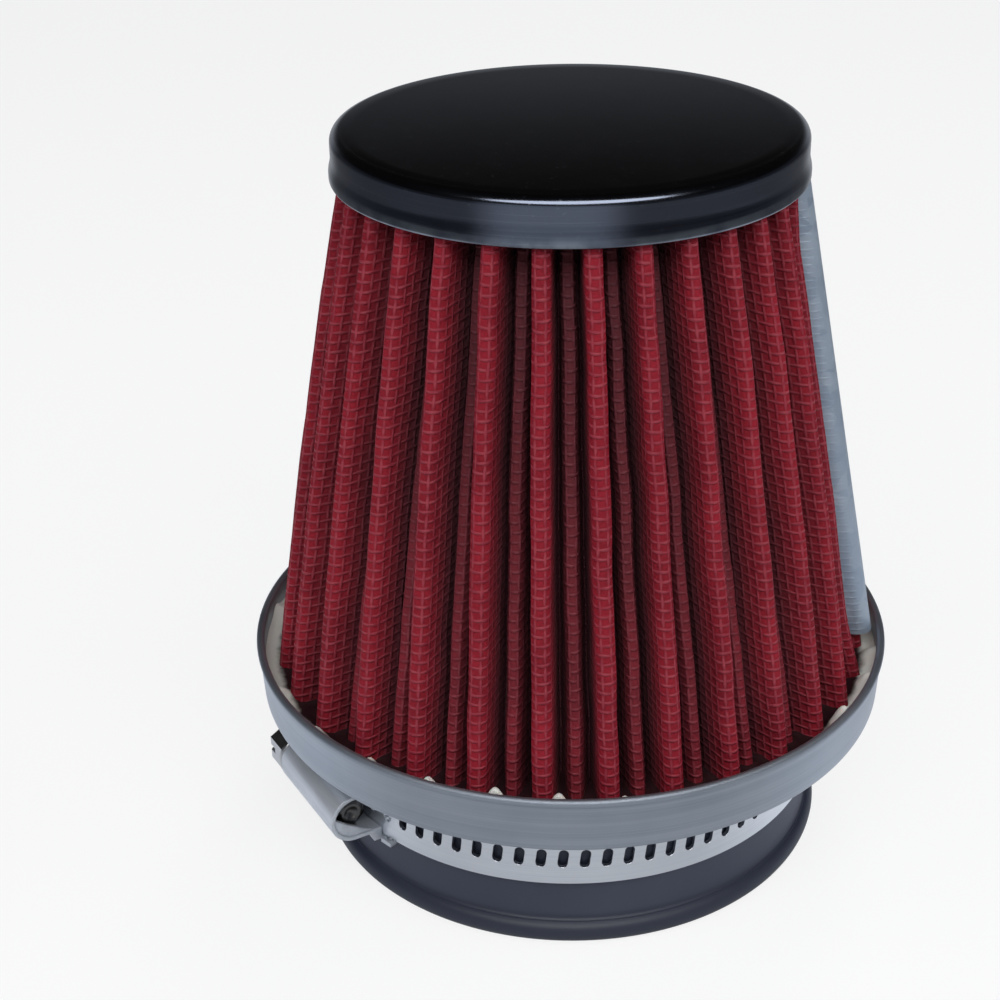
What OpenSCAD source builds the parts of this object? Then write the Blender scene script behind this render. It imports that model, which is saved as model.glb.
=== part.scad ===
// Cone air filter: a folded red element between a pressed cap and a steel pan, on a rubber neck with a clamp.
// Z runs up the axis of the cone from the mouth of the neck, and -Y faces the front.

/* [Neck sleeve] */
// Bore of the rubber neck
neck_bore = 70; // [60:1:74]
// Wall of the rubber neck
neck_wall = 3; // [2.5:0.1:4]
// Length of the neck below the pan
neck_len = 23.5; // [22:0.5:40]
// Height of the bead round the mouth
bead_h = 3.8; // [3:0.1:5]
// How far the bead stands proud of the neck
bead_proud = 1.5; // [1:0.1:2]
// Chamfer inside the mouth
mouth_chamfer = 1; // [0.5:0.1:1.5]
// Thickness of the flange inside the pan
flange_t = 1.2; // [1:0.1:1.6]
// Gap between the flange and the corner of the pan
flange_gap = 0.3; // [0.1:0.1:3]
// Thickness of the shoulder under the pan
shoulder_t = 1.5; // [1:0.1:2]
// How far the shoulder reaches beyond the neck
shoulder_w = 2.4; // [1.5:0.1:4]
// Wall of the lip that keeps the glue out of the bore
lip_wall = 1.5; // [1:0.1:2]
// Height of the lip above the glue
lip_up = 0.3; // [0.1:0.1:1]

/* [Base pan] */
// How far the pan's rim stands out beyond the neck
pan_ledge = 10.6; // [9:0.1:20]
// Height of the pan
pan_h = 9.25; // [8.75:0.25:14]
// How much the pan narrows from rim to floor, on the radius
pan_draft = 0.5; // [0.3:0.1:2]
// Outer corner radius of the pan
pan_corner = 1.6; // [1.2:0.1:3]
// Sheet of the pan
pan_sheet = 0.7; // [0.5:0.1:0.9]
// Thickness of the rolled rim
rim_roll = 1.2; // [1:0.1:1.6]

/* [Cap] */
// Outside diameter of the cap
cap_d = 65.6; // [62:0.2:76]
// Height of the cap
cap_h = 6.6; // [6.2:0.2:10]
// Outer edge radius of the cap
cap_edge = 1.3; // [0.9:0.1:2]
// Sheet of the cap
cap_sheet = 0.6; // [0.4:0.1:0.8]
// Height of the hem round the cap's open edge
hem_h = 1.6; // [1.2:0.1:2.4]
// How far the hem stands proud of the cap's wall
hem_proud = 0.35; // [0.2:0.05:0.6]
// Height of the whole filter
filter_h = 111; // [90:1:140]

/* [Glue] */
// How far the glue in the pan lies below the rim
glue_below_rim = 4.2; // [3:0.1:4.4]
// How far the glue in the cap lies above its open edge
glue_in_cap = 1.6; // [1:0.1:2.2]
// How deep the folds sit in the glue at both ends
fold_seat = 2.4; // [1.5:0.1:2.6]

/* [Folded element] */
// Depth of the deep folds at the cap
fold_depth_top = 9.2; // [8.6:0.1:12]
// Thickness of the folded sheet
fold_t = 0.9; // [0.6:0.05:0.95]
// Inner radius of a deep fold's tip at the cap
tip_inner_top = 0.25; // [0.15:0.05:0.4]
// Inner radius of a deep fold's tip at the pan
tip_inner_low = 0.45; // [0.2:0.05:0.6]
// Inner radius of a shallow fold's tip
short_inner = 0.08; // [0.05:0.01:0.12]
// Gap between the deep tips and the wall of the cap
tip_gap_top = 0.55; // [0.4:0.05:1.5]
// Gap between the deep tips and the wall of the pan
tip_gap_low = 1.9; // [1:0.1:3]
// How far the shallow tips lie behind the deep ones at the cap
short_drop_top = 5.4; // [4.5:0.1:5.8]
// How far the shallow tips lie behind the deep ones at the pan
short_drop_low = 2.5; // [1.5:0.1:4]
// Gap left inside each fold's root, on the radius
root_gap = 0.1; // [0.05:0.05:0.2]
// Gap between the roots of the folds and the neck's lip
root_clear = 0.4; // [0.2:0.1:1]
// How far the sheet bulges outwards half way up
bulge = 0.6; // [0:0.1:0.7]
// How far the folds lean round the cone from cap to pan, in degrees
lean_angle = 1.8; // [0:0.2:4]
// How far the folds bunch up on one side, in degrees
bunch_angle = 8; // [0:0.5:10]
// Bearing of the deep fold nearest the front, at the cap
first_fold_bearing = 275.7; // [270:0.1:281]

/* [Seam clip] */
// Number of folds from the front one to the one that holds the seam
clip_fold = 7; // [0:1:20]
// Sheet of the clip
clip_sheet = 0.5; // [0.3:0.1:0.6]
// Depth of the clip's channel
clip_depth = 4.2; // [3:0.1:4.6]
// Play between the clip's sides and the fold inside it
clip_play = 0.15; // [0.05:0.05:0.2]
// How far the clip stands proud of the fold's tip at the cap
clip_proud_top = 1; // [0.9:0.05:1.6]
// How far the clip stands proud of the fold's tip at the pan
clip_proud_low = 1.9; // [1.7:0.05:2.1]
// Height of the clip's lower end above the glue
clip_lift = 3.6; // [2.6:0.2:12]
// Gap between the clip's upper end and the cap
clip_gap = 0.3; // [0.1:0.1:1]

/* [Clamp band] */
// Gap between the band and the shoulder under the pan
band_gap = 1.8; // [1.1:0.1:4]
// Width of the band
band_w = 9; // [8:0.5:9.5]
// Thickness of the band
band_t = 0.6; // [0.5:0.05:0.8]
// Play between the band and the neck, and between its layers
band_play = 0.05; // [0.02:0.01:0.1]
// Pitch of the slots along the band
slot_pitch = 3.175; // [3:0.025:3.5]
// Width of a slot
slot_w = 1.45; // [1.2:0.05:1.6]
// Length of a slot
slot_len = 3.1; // [2.6:0.1:4.5]
// Slant of the slots, in degrees
slot_slant = 7; // [0:1:12]
// Length of the free tail beyond the housing's middle, in degrees
tail_angle = 38; // [25:1:60]
// Corner radius of the tail's end
tail_round = 2; // [1:0.5:3.5]

/* [Clamp housing and screw] */
// Bearing of the clamp's housing round the neck
clamp_bearing = 212; // [0:1:360]
// Length of the housing
house_len = 18; // [16.5:0.5:22]
// Sheet of the housing
house_sheet = 0.7; // [0.5:0.1:0.9]
// Diameter over the screw's thread
thread_d = 6; // [5:0.1:6.4]
// Height of the screw's thread
thread_h = 0.7; // [0.5:0.1:0.8]
// How far the screw's end lies inside the open end of the housing
screw_recess = 1.5; // [0.5:0.1:3]
// Play round the screw in the housing's end wall
screw_play = 0.12; // [0.08:0.01:0.2]
// Play round the thread, in the housing and over the band
thread_play = 0.2; // [0.15:0.05:0.3]
// Width across the flats of the screw's head
head_af = 6.5; // [6:0.1:7]
// Length of the screw's head
head_len = 4.4; // [3.5:0.1:6]
// Diameter of the collar behind the head
collar_d = 7.6; // [7.6:0.1:8]
// Thickness of the collar behind the head
collar_t = 0.8; // [0.6:0.1:1.2]
// Width of the driving slot
drive_w = 1; // [0.8:0.1:1.4]
// Depth of the driving slot
drive_depth = 1.8; // [1:0.1:2.5]
// Gap between the head's collar and the housing
collar_gap = 0.3; // [0.2:0.05:0.5]
// Height of the upright sides of the housing's feet
foot_side = 1.6; // [1:0.1:2]
// Thickness of the saddle under the band
saddle_t = 0.6; // [0.4:0.1:0.8]
// How far the saddle reaches beyond the housing at each end
saddle_out = 2.4; // [2.2:0.1:4]
// Width of the ears that fold up round the band at the saddle's ends
ear_w = 2; // [1.5:0.1:2.2]
// Diameter of the pressed dimple in each ear
dimple_d = 0.8; // [0.5:0.1:1]

/* [Hidden] */
$fn = 96;
// A cut that runs past a face by this much leaves no skin behind
over = 1;

// Radii of the neck
bore_r = neck_bore / 2;
neck_r = bore_r + neck_wall;
lip_r = bore_r + lip_wall;

// Levels, from the mouth of the neck upwards
pan_floor = neck_len + pan_sheet;
rim_z = neck_len + pan_h;
glue_low_z = rim_z - glue_below_rim;
cap_low_z = filter_h - cap_h;
glue_top_z = cap_low_z + glue_in_cap;
foot_z = glue_low_z - fold_seat;
head_z = glue_top_z + fold_seat;

// Half outlines of the pan and the cap, as the radius of a wall at a level
rim_r = neck_r + pan_ledge;
pan_r = rim_r - rim_roll / 2 + pan_sheet / 2;
cap_r = cap_d / 2;
function pan_wall_r(z) = pan_r - pan_draft * (rim_z - z) / pan_h;
corner_r = pan_wall_r(neck_len + pan_corner) - pan_corner;
flange_r = corner_r - flange_gap;

// Folds: every pair has a deep tip, a root, a shallow tip and a root
FOLD_STEPS = 4;
TIP_FACETS = 4;
ROOT_FACETS = 2;
top_tip_r = cap_r - cap_sheet - tip_gap_top;
top_root_r = top_tip_r - fold_depth_top;
low_root_r = lip_r + root_clear + fold_t + root_gap;
// As many pairs as fit round the roots at the cap where the folds stand closest
closest_step = asin((fold_t + 1.5 * root_gap) / top_root_r);
fold_pairs = floor((1 - bunch_angle * PI / 360) * 360 / FOLD_STEPS / closest_step);
steps = fold_pairs * FOLD_STEPS;
low_tip_r = pan_wall_r(glue_low_z) - pan_sheet - tip_gap_low;
// How much wider a deep fold gets at the pan for each millimetre towards its root, on one side
widest_step = 360 / steps * (1 + bunch_angle * PI / 360);
fold_flare = (low_root_r * sin(widest_step) - root_gap - tip_inner_low - fold_t) / (low_tip_r - low_root_r);

function is_tip(j) = j % 2 == 0;
function turn_of(j) = is_tip(j) ? 1 : -1;
function bearing(j) = let (a = j * 360 / steps) first_fold_bearing + a - bunch_angle * (1 - cos(a - 15)) / 2;
// Share of the way down from cap to pan is 0 at the cap and 1 at the pan
function bend_r(j, down) = fold_t / 2 + (!is_tip(j) ? root_gap
    : j % FOLD_STEPS == 0 ? tip_inner_top + (tip_inner_low - tip_inner_top) * down : short_inner);
function centre_r(j, down) =
    let (out = bulge * 4 * down * (1 - down),
        tip = top_tip_r + (low_tip_r - top_tip_r) * down,
        drop = short_drop_top + (short_drop_low - short_drop_top) * down)
    out + (!is_tip(j) ? top_root_r + (low_root_r - top_root_r) * down
    : tip - (j % FOLD_STEPS == 0 ? 0 : drop) - bend_r(j, down) - fold_t / 2);
function centre(j, down) =
    let (a = bearing(j) + lean_angle * down)
    centre_r(j, down) * [cos(a), sin(a)];
// Heading of the straight wall from one bend to the next
function wall_heading(j, down) =
    let (d = centre(j + 1, down) - centre(j, down))
    atan2(d[1], d[0]) + turn_of(j) * asin((bend_r(j, down) + bend_r(j + 1, down)) / norm(d));
function whole_turns(a) = a - 360 * floor(a / 360);
// Points of one bend of a face, where side is 1 for the clean side of the sheet and -1 for the dirty side
function bend_points(j, down, side) =
    let (turn = turn_of(j),
        from = wall_heading(j - 1, down) - 90 * turn,
        sweep = whole_turns(turn * (wall_heading(j, down) - 90 * turn - from)),
        r = bend_r(j, down) - turn * side * fold_t / 2,
        facets = is_tip(j) ? TIP_FACETS : ROOT_FACETS)
    [for (i = [0 : facets]) centre(j, down) + r * [for (f = [cos(from + turn * sweep * i / facets),
        sin(from + turn * sweep * i / facets)]) f]];
function face_points(down, side) = [for (j = [0 : steps - 1]) each bend_points(j, down, side)];
function at_height(points, z) = [for (p = points) [p[0], p[1], z]];
function next_in(i, count) = (i + 1) % count;

// Half sections, drawn with the radius along X and the height along Y

// A pressed cup, open downwards, with rounded outer corners
module cup_section(r, low, high, edge) {
    translate([0, low]) square([r, high - low - edge]);
    translate([0, low]) square([r - edge, high - low]);
    translate([r - edge, high - edge]) circle(edge);
}

module cap_inside() {
    cup_section(cap_r - cap_sheet, cap_low_z - over, filter_h - cap_sheet, cap_edge - cap_sheet);
}

module hem_section() {
    hem_t = cap_sheet + hem_proud;
    translate([cap_r + hem_proud - hem_t, cap_low_z + hem_t / 2]) square([hem_t, hem_h - hem_t]);
    for (z = [cap_low_z + hem_t / 2, cap_low_z + hem_h - hem_t / 2])
        translate([cap_r + hem_proud - hem_t / 2, z]) circle(hem_t / 2);
}

// The pan's outline moved in by the given amount, from floor to rim
module pan_section(inset) {
    corner = pan_corner - inset;
    low = neck_len + inset;
    polygon([[0, low + corner], [corner_r + corner, low + corner], [pan_r - inset, rim_z], [0, rim_z]]);
    translate([0, low]) square([corner_r, corner + over / 10]);
    translate([corner_r, low + corner]) circle(corner);
}

module rim_section() {
    translate([pan_r - pan_sheet / 2, rim_z - rim_roll / 2]) circle(rim_roll / 2);
}

module sleeve_section() {
    bead_r = bead_h / 2;
    difference() {
        union() {
            square([neck_r, pan_floor + flange_t]);
            square([lip_r, glue_low_z + lip_up]);
            translate([0, pan_floor]) square([flange_r, flange_t]);
            translate([0, neck_len - shoulder_t]) square([neck_r + shoulder_w, shoulder_t]);
            translate([neck_r + bead_proud - bead_r, bead_r]) circle(bead_r);
            square([neck_r + bead_proud - bead_r, bead_h]);
        }
        translate([0, -over]) square([bore_r, filter_h]);
        polygon([[0, -over], [bore_r + mouth_chamfer + over, -over], [bore_r, mouth_chamfer],
            [0, mouth_chamfer]]);
    }
}

// The closed loop of folds in plan, at the cap or at the pan
module fold_loop(down) {
    difference() {
        polygon(face_points(down, -1));
        polygon(face_points(down, 1));
    }
}

module top_cap() {
    color([0.13, 0.14, 0.17])
        rotate_extrude() {
            difference() {
                cup_section(cap_r, cap_low_z + hem_h / 2, filter_h, cap_edge);
                cap_inside();
            }
            hem_section();
        }
}

module cap_glue() {
    color([0.1, 0.1, 0.11])
        difference() {
            rotate_extrude()
                intersection() {
                    cap_inside();
                    translate([0, glue_top_z]) square([cap_d, cap_h]);
                }
            translate([0, 0, glue_top_z - over]) linear_extrude(fold_seat + over) fold_loop(0);
        }
}

// One closed sheet: straight inside the glue at both ends and tapering from pan to cap between them
module folded_element() {
    // Each level is a share of the way down and a height
    levels = [[1, foot_z], [1, glue_low_z], [0.5, (glue_low_z + glue_top_z) / 2], [0, glue_top_z], [0, head_z]];
    points = [for (level = levels) for (side = [-1, 1]) each at_height(face_points(level[0], side), level[1])];
    count = len(points) / len(levels) / 2;
    rings = [for (ring = [0 : len(levels) - 2]) ring * 2 * count];
    top_ring = (len(levels) - 1) * 2 * count;
    dirty_faces = [for (ring = rings) for (i = [0 : count - 1])
        let (a = ring + i, b = ring + next_in(i, count), up = 2 * count)
        each [[a, a + up, b + up], [a, b + up, b]]];
    clean_faces = [for (ring = rings) for (i = [0 : count - 1])
        let (a = ring + count + i, b = ring + count + next_in(i, count), up = 2 * count)
        each [[a, b + up, a + up], [a, b, b + up]]];
    foot_faces = [for (i = [0 : count - 1])
        let (n = next_in(i, count)) each [[i, n, count + n], [i, count + n, count + i]]];
    head_faces = [for (i = [0 : count - 1])
        let (a = top_ring + i, b = top_ring + next_in(i, count))
        each [[a, a + count, b + count], [a, b + count, b]]];
    color([0.55, 0.1, 0.15])
        polyhedron(points, concat(dirty_faces, clean_faces, foot_faces, head_faces), convexity = 20);
}

// A folded channel over the tip of the fold that joins the sheet's two ends
module seam_clip() {
    step = clip_fold * FOLD_STEPS;
    low_bearing = bearing(step) + lean_angle;
    top_bearing = bearing(step);
    low_r = low_tip_r + clip_proud_low - clip_sheet;
    top_r = top_tip_r + clip_proud_top - clip_sheet;
    low = concat(low_r * [cos(low_bearing), sin(low_bearing)], [glue_low_z]);
    top = concat(top_r * [cos(top_bearing), sin(top_bearing)], [glue_top_z]);
    run = top - low;
    lean = acos(run[2] / norm(run));
    swing = atan2(run[1], run[0]);
    middle = (low_bearing + top_bearing) / 2;
    inner_w = 2 * (tip_inner_low + fold_t + clip_play + max(0, fold_flare) * clip_depth);
    outer_w = inner_w + 2 * clip_sheet;
    color([0.55, 0.62, 0.72])
        intersection() {
            translate(low) rotate([0, 0, swing]) rotate([0, lean, 0]) rotate([0, 0, middle - swing])
                translate([0, 0, -glue_low_z]) linear_extrude(filter_h + glue_low_z)
                    difference() {
                        union() {
                            translate([-clip_depth, -outer_w / 2])
                                square([clip_depth - outer_w / 2 + clip_sheet, outer_w]);
                            translate([clip_sheet - outer_w / 2, 0]) circle(outer_w / 2);
                        }
                        translate([-clip_depth - over, -inner_w / 2])
                            square([clip_depth - outer_w / 2 + clip_sheet + over, inner_w]);
                        translate([clip_sheet - outer_w / 2, 0]) circle(inner_w / 2);
                    }
            translate([0, 0, glue_low_z + clip_lift])
                cylinder(h = cap_low_z - clip_gap - glue_low_z - clip_lift, r = rim_r + clip_depth);
        }
}

module pan_glue() {
    color([0.8, 0.8, 0.76])
        difference() {
            rotate_extrude()
                difference() {
                    intersection() {
                        pan_section(pan_sheet);
                        translate([lip_r, neck_len]) square([rim_r, glue_low_z - neck_len]);
                    }
                    sleeve_section();
                }
            translate([0, 0, foot_z]) linear_extrude(fold_seat + over) fold_loop(1);
        }
}

module base_pan() {
    color([0.66, 0.7, 0.75])
        rotate_extrude()
            difference() {
                union() {
                    pan_section(0);
                    rim_section();
                }
                difference() {
                    pan_section(pan_sheet);
                    rim_section();
                }
                translate([0, neck_len - over]) square([neck_r, pan_h]);
            }
}

// Places its children at the clamp, with X outwards, Y along the screw and Z up, on the screw's axis
module at_clamp() {
    rotate([0, 0, clamp_bearing]) translate([screw_r, 0, band_mid]) children();
}

// A bent strip in plan, between two bearings
module strip(inner, outer, from, to) {
    intersection() {
        difference() {
            circle(outer);
            circle(inner);
        }
        polygon([[0, 0], for (i = [0 : 4]) let (a = from + (to - from) * i / 4) 2 * outer * [cos(a), sin(a)]]);
    }
}

// Levels and radii of the clamp
band_low = neck_len - shoulder_t - band_gap - band_w;
band_mid = band_low + band_w / 2;
band_r = neck_r + band_play;
tail_r = band_r + band_t + band_play;
tail_out_r = tail_r + band_t;
screw_r = tail_out_r + thread_play + thread_d / 2;
// The band leaves its first layer half a turn before the clamp and rises on a circle off the centre
lift = (tail_r - band_r) / 2;
slot_step = slot_pitch / tail_out_r * 180 / PI;
slots = floor((180 + tail_angle) / slot_step) - 2;
saddle_half = asin((house_len / 2 + saddle_out) / neck_r);
// Reach of the housing's feet and the saddle above and below the middle of the band
clamp_foot = band_w / 2 + thread_play + house_sheet;

module slot_shape() {
    square([slot_len - slot_w, slot_w], center = true);
    for (side = [-1, 1])
        translate([side * (slot_len - slot_w) / 2, 0]) circle(slot_w / 2);
}

module clamp_band() {
    color([0.74, 0.77, 0.81])
        difference() {
            translate([0, 0, band_low]) rotate(clamp_bearing - 180) linear_extrude(band_w) {
                strip(band_r, band_r + band_t, 0, 180 + saddle_half);
                translate([-lift, 0]) strip(band_r + lift, band_r + lift + band_t, 180, 360);
                strip(tail_r, tail_out_r, 180 - tail_angle, 180);
            }
            translate([0, 0, band_mid]) rotate(clamp_bearing - tail_angle) {
                for (i = [0 : slots])
                    rotate((i + 1.5) * slot_step) translate([tail_r - over, 0, 0])
                        rotate([0, 90, 0]) rotate(slot_slant) linear_extrude(2 * over) slot_shape();
                translate([tail_r - band_play / 2, 0, 0]) tail_corners();
            }
        }
}

// The sleeve has a shallow pocket where the saddle presses into the rubber
module neck_sleeve() {
    color([0.17, 0.19, 0.25])
        difference() {
            rotate_extrude() sleeve_section();
            translate([0, 0, band_mid - clamp_foot]) rotate(clamp_bearing) linear_extrude(2 * clamp_foot)
                strip(neck_r - saddle_t, neck_r + over, -saddle_half, saddle_half);
        }
}

// What is cut off the square end of the tail to round its corners
module tail_corners() {
    rotate([0, 90, 0])
        linear_extrude(2 * over)
            for (side = [-1, 1])
                difference() {
                    translate([side > 0 ? band_w / 2 - tail_round : -band_w / 2 - over, -over])
                        square([tail_round + over, tail_round + over]);
                    translate([side * (band_w / 2 - tail_round), tail_round]) circle(tail_round);
                }
}

// A curved plate whose ears stand a little in from its ends
module clamp_saddle() {
    ear_angle = ear_w / neck_r * 180 / PI;
    ear_end = saddle_half - ear_angle / 5;
    ear_from_r = neck_r - saddle_t / 2;
    ear_r = tail_out_r + house_sheet;
    color([0.7, 0.73, 0.77])
        translate([0, 0, band_mid - clamp_foot]) rotate(clamp_bearing) {
            linear_extrude(2 * clamp_foot) strip(neck_r - saddle_t, neck_r, -saddle_half, saddle_half);
            for (level = [0, 2 * clamp_foot - house_sheet])
                for (from = [-ear_end, ear_end - ear_angle])
                    translate([0, 0, level]) linear_extrude(house_sheet)
                        difference() {
                            strip(ear_from_r, ear_r, from, from + ear_angle);
                            rotate(from + ear_angle / 2)
                                translate([(neck_r + ear_r) / 2, 0]) circle(d = dimple_d);
                        }
        }
}

module along_screw(from, to) {
    translate([0, from, 0]) rotate([-90, 0, 0]) linear_extrude(to - from) children();
}

// A folded shell over the screw, open at the end that the head isn't at
module clamp_housing() {
    cavity_r = thread_d / 2 + thread_play;
    shell_r = cavity_r + house_sheet;
    low = neck_r + band_play - screw_r;
    half = house_len / 2;
    color([0.72, 0.75, 0.79])
        difference() {
            at_clamp()
                difference() {
                    along_screw(-half, half) {
                        circle(shell_r);
                        translate([-shell_r - over, -shell_r]) square([shell_r + over, 2 * shell_r]);
                        polygon([[2 * low, -clamp_foot], [low + foot_side, -clamp_foot], [low / 2, -shell_r],
                            [low / 2, shell_r], [low + foot_side, clamp_foot], [2 * low, clamp_foot]]);
                    }
                    along_screw(-half + house_sheet, half + over) {
                        circle(cavity_r);
                        translate([2 * low, -cavity_r]) square([-2 * low, 2 * cavity_r]);
                    }
                    along_screw(-half - over, 0) circle(thread_d / 2 - thread_h + screw_play);
                }
            translate([0, 0, band_mid])
                rotate_extrude()
                    translate([0, -band_w / 2 - thread_play])
                        square([tail_out_r + band_play, band_w + 2 * thread_play]);
            cylinder(h = filter_h, r = neck_r);
        }
}

module clamp_screw() {
    half = house_len / 2;
    core_r = thread_d / 2 - thread_h;
    thread_from = -half + house_sheet + screw_play;
    thread_to = half - screw_recess;
    ridges = floor((thread_to - thread_from) / slot_pitch);
    ridge_w = slot_w / 2;
    head_from = -half - collar_gap - collar_t - head_len;
    color([0.66, 0.68, 0.72])
        at_clamp() {
            rotate([-90, 0, 0])
                rotate_extrude() {
                    translate([0, -half - collar_gap - collar_t / 2])
                        square([core_r, thread_to + half + collar_gap + collar_t / 2]);
                    translate([0, -half - collar_gap - collar_t]) square([collar_d / 2, collar_t]);
                    for (i = [0 : ridges - 1])
                        translate([core_r, thread_from + ridge_w + i * slot_pitch])
                            polygon([[-thread_h / 2, -ridge_w], [0, -ridge_w], [thread_h, -ridge_w / 2],
                                [thread_h, ridge_w / 2], [0, ridge_w], [-thread_h / 2, ridge_w]]);
                }
            difference() {
                along_screw(head_from, head_from + head_len + collar_t / 2)
                    rotate(30) circle(r = head_af / sqrt(3), $fn = 6);
                translate([-head_af, head_from - over, -drive_w / 2])
                    cube([2 * head_af, drive_depth + over, drive_w]);
            }
        }
}

top_cap();
cap_glue();
folded_element();
seam_clip();
pan_glue();
base_pan();
neck_sleeve();
clamp_band();
clamp_saddle();
clamp_housing();
clamp_screw();
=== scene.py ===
import math

import bmesh
import bpy
import numpy as np
from mathutils import Matrix, Vector


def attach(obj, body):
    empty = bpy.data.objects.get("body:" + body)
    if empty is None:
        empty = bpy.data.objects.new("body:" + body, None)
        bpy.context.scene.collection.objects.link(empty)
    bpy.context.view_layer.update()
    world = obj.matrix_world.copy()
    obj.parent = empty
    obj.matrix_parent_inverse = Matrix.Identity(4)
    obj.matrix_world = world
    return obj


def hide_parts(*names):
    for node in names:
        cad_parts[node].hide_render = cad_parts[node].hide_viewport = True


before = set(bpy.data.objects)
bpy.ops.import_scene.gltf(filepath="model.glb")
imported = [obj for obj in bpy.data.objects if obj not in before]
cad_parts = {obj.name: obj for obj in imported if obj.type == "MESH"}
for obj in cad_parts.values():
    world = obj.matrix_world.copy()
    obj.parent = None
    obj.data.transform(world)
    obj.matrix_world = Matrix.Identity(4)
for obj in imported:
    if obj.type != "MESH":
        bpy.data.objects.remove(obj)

# The cone air filter, dressed: folded gauze, dark mirror cap, steel pan, rubber neck and worm clamp.
# Lengths are written in millimetres and made metres by MM. Z runs up the cone's axis and -Y is the front.

MM = 0.001
RISE = math.radians
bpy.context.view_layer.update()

# Sizes shared with the solids
BORE_R, NECK_R, LIP_R, LIP_TOP = 35.0, 38.0, 36.5, 28.85
NECK_LEN, BEAD_R, BEAD_OUT, SHOULDER_T, SHOULDER_OUT = 23.5, 1.9, 39.5, 1.5, 40.4
PAN_R, PAN_DRAFT, PAN_H, PAN_SHEET, RIM_Z, RIM_ROLL = 48.35, 0.5, 9.25, 0.7, 32.75, 0.6
CORNER_R, PAN_CORNER = 46.336, 1.6
GLUE_LOW, GLUE_TOP, FOOT_Z, HEAD_Z = 28.55, 106.0, 26.15, 108.4
CAP_R, CAP_LOW, TOP, CAP_EDGE, CAP_SHEET = 32.8, 104.4, 111.0, 1.4, 0.6
HEM_H, HEM_T, HEM_R = 1.6, 0.95, 33.15
FLANGE_R, FLANGE_TOP = 46.036, 25.4
TIP_TOP, TIP_LOW, ROOT_TOP, ROOT_LOW, BULGE = 31.65, 45.523, 22.45, 37.9, 0.6
FOLD_PAIRS, FOLD_T, ROOT_GAP = 31, 0.9, 0.1
LEAN, BUNCH, FIRST_FOLD = RISE(1.8), RISE(8), RISE(275.7)
BAND_W, BAND_T, BAND_R, TAIL_R = 9.0, 0.6, 38.05, 38.7
CLAMP, TAIL_ANGLE, SADDLE_HALF, CLAMP_FOOT = RISE(212), RISE(38), RISE(17.458), 5.4
SCREW_R, BAND_MID, HOUSE_HALF = 42.5, 15.7, 9.0


# Node trees


class Wire:
    """A socket of a node tree on which Python's operators work."""

    def __init__(self, tree, socket):
        self.tree, self.socket = tree, socket

    def out(self, name):
        return Wire(self.tree, self.socket.node.outputs[name])

    def maths(self, operation, *values):
        return self.tree.add("ShaderNodeMath", {"operation": operation}, dict(enumerate(values)))

    def __add__(self, other):
        return self.maths("ADD", self, other)

    def __radd__(self, other):
        return self.maths("ADD", other, self)

    def __sub__(self, other):
        return self.maths("SUBTRACT", self, other)

    def __rsub__(self, other):
        return self.maths("SUBTRACT", other, self)

    def __mul__(self, other):
        return self.maths("MULTIPLY", self, other)

    def __rmul__(self, other):
        return self.maths("MULTIPLY", other, self)

    def __truediv__(self, other):
        return self.maths("DIVIDE", self, other)

    def __rtruediv__(self, other):
        return self.maths("DIVIDE", other, self)

    def __pow__(self, other):
        return self.maths("POWER", self, other)

    def __abs__(self):
        return self.maths("ABSOLUTE", self)

    def low(self, other):
        return self.maths("MINIMUM", self, other)

    def high(self, other):
        return self.maths("MAXIMUM", self, other)

    def part(self):
        return self.maths("FRACT", self)

    def sin(self):
        return self.maths("SINE", self)

    def cos(self):
        return self.maths("COSINE", self)

    def step(self, start, end):
        """0 below start and 1 above end, smooth between them."""
        return self.tree.add("ShaderNodeMapRange", {"interpolation_type": "SMOOTHSTEP"},
                             {"Value": self, "From Min": start, "From Max": end})


class Tree:
    """Adds nodes to a tree by type, with their settings first and then the values or links of their sockets."""

    def __init__(self, tree):
        self.nodes, self.links = tree.nodes, tree.links

    def add(self, kind, settings=None, inputs=None, output=0):
        node = self.nodes.new(kind)
        for name, value in (settings or {}).items():
            setattr(node, name, value)
        for name, value in (inputs or {}).items():
            socket = node.inputs[name]
            if isinstance(value, Wire):
                self.links.new(value.socket, socket)
            else:
                socket.default_value = value
        return Wire(self, node.outputs[output]) if len(node.outputs) else None

    def place(self):
        return self.add("ShaderNodeTexCoord", {}, {}, "Object")

    def split(self, vector):
        return self.add("ShaderNodeSeparateXYZ", {}, {0: vector})

    def join(self, x=0.0, y=0.0, z=0.0):
        return self.add("ShaderNodeCombineXYZ", {}, {0: x, 1: y, 2: z})

    def noise(self, vector, scale, detail=2.0, roughness=0.5):
        return self.add("ShaderNodeTexNoise", {}, {"Vector": vector, "Scale": scale, "Detail": detail,
                                                   "Roughness": roughness})

    def blend(self, factor, low, high):
        return self.add("ShaderNodeMix", {"data_type": "RGBA"}, {0: factor, 6: low, 7: high}, 2)

    def bump(self, height, distance, strength):
        return self.add("ShaderNodeBump", {}, {"Height": height, "Distance": distance, "Strength": strength})

    def around(self, radius):
        """Coordinates that run round the axis, up it and away from it, in metres."""
        x, y, z = (self.split(self.place()).out(i) for i in range(3))
        turn = x.maths("ARCTAN2", y, x)
        away = (x * x + y * y) ** 0.5
        return turn * radius, z, away


def rgb(red, green, blue):
    return (red, green, blue, 1.0)


def finish(name, paint, **fixed):
    """A material whose varying sockets come from paint and whose other sockets are set once."""
    made = bpy.data.materials.new(name)
    made.use_nodes = True
    made.node_tree.nodes.clear()
    tree = Tree(made.node_tree)
    given = {label.replace("_", " "): value for label, value in fixed.items()}
    given.update(paint(tree))
    shader = tree.add("ShaderNodeBsdfPrincipled", {}, given)
    tree.add("ShaderNodeOutputMaterial", {}, {"Surface": shader})
    return made


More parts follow.
